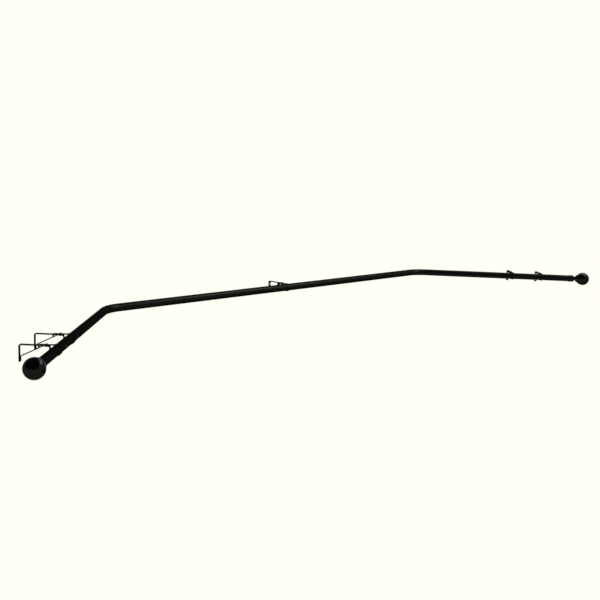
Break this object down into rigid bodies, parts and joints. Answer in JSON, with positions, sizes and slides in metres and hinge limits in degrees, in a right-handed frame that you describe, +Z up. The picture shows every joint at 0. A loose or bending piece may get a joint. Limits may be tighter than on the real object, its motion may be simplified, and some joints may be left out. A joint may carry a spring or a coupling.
{
  "type": "bay window curtain rod",
  "caption": "Bent curtain pole for a bay window, with ball finials, held off the wall by strip-steel brackets that clamp it with straps.",
  "frame": {"origin": "on the wall, midway between the centre bracket's two screw holes", "axes": "+X along the pole's middle run, +Y to the wall, +Z up"},
  "size_m": [2.532, 0.612, 0.0577],
  "materials": {
    "black_steel": "satin",
    "black_fastener": "satin",
    "plug_steel": "plain turned"
  },
  "bodies": {
    "fixed_pole": {"pole": "black_steel", "left_end_plug": "plug_steel", "right_end_plug": "plug_steel", "left_outer_wall_arm": "black_steel", "left_outer_brace": "black_steel", "left_outer_stay": "black_steel", "left_outer_strap": "black_steel", "left_inner_wall_arm": "black_steel", "left_inner_brace": "black_steel", "left_inner_stay": "black_steel", "left_inner_strap": "black_steel", "centre_wall_arm": "black_steel", "centre_brace": "black_steel", "centre_stay": "black_steel", "centre_strap": "black_steel", "right_inner_wall_arm": "black_steel", "right_inner_brace": "black_steel", "right_inner_stay": "black_steel", "right_inner_strap": "black_steel", "right_outer_wall_arm": "black_steel", "right_outer_brace": "black_steel", "right_outer_stay": "black_steel", "right_outer_strap": "black_steel"},
    "left_outer_clamp_screw": {"left_outer_clamp_screw": "black_fastener"},
    "left_inner_clamp_screw": {"left_inner_clamp_screw": "black_fastener"},
    "centre_clamp_screw": {"centre_clamp_screw": "black_fastener"},
    "right_inner_clamp_screw": {"right_inner_clamp_screw": "black_fastener"},
    "right_outer_clamp_screw": {"right_outer_clamp_screw": "black_fastener"},
    "left_end_cap": {"left_end_cap": "black_steel"},
    "left_finial": {"left_finial": "black_steel"},
    "right_end_cap": {"right_end_cap": "black_steel"},
    "right_finial": {"right_finial": "black_steel"}
  },
  "joints": [
    {"name": "left_outer_screw_turn", "type": "hinge", "parent": "fixed_pole", "child": "left_outer_clamp_screw", "pos_m": [-1.13426, -0.44703, 0], "axis": [0, 0, -1], "range_deg": [0, 2160]},
    {"name": "left_inner_screw_turn", "type": "hinge", "parent": "fixed_pole", "child": "left_inner_clamp_screw", "pos_m": [-1.04906, -0.36182, 0], "axis": [0, 0, -1], "range_deg": [0, 2160]},
    {"name": "centre_screw_turn", "type": "hinge", "parent": "fixed_pole", "child": "centre_clamp_screw", "pos_m": [0, -0.0675, 0], "axis": [0, 0, -1], "range_deg": [0, 2160]},
    {"name": "right_inner_screw_turn", "type": "hinge", "parent": "fixed_pole", "child": "right_inner_clamp_screw", "pos_m": [1.04906, -0.36182, 0], "axis": [0, 0, -1], "range_deg": [0, 2160]},
    {"name": "right_outer_screw_turn", "type": "hinge", "parent": "fixed_pole", "child": "right_outer_clamp_screw", "pos_m": [1.13426, -0.44703, 0], "axis": [0, 0, -1], "range_deg": [0, 2160]},
    {"name": "left_cap_slide", "type": "slide", "parent": "fixed_pole", "child": "left_end_cap", "axis": [-0.7071, -0.7071, 0], "range_m": [0, 0.01]},
    {"name": "left_finial_turn", "type": "hinge", "parent": "left_end_cap", "child": "left_finial", "pos_m": [-1.21063, -0.55663, 0.0129], "axis": [-0.7071, -0.7071, 0], "range_deg": [0, 3600]},
    {"name": "right_cap_slide", "type": "slide", "parent": "fixed_pole", "child": "right_end_cap", "axis": [0.7071, -0.7071, 0], "range_m": [0, 0.01]},
    {"name": "right_finial_turn", "type": "hinge", "parent": "right_end_cap", "child": "right_finial", "pos_m": [1.21063, -0.55663, 0.0129], "axis": [0.7071, -0.7071, 0], "range_deg": [0, 3600]}
  ],
  "couplings": [
    {"joint": "left_cap_slide", "follows": "left_finial_turn", "m_per_rad": 0.00015915},
    {"joint": "right_cap_slide", "follows": "right_finial_turn", "m_per_rad": 0.00015915}
  ]
}
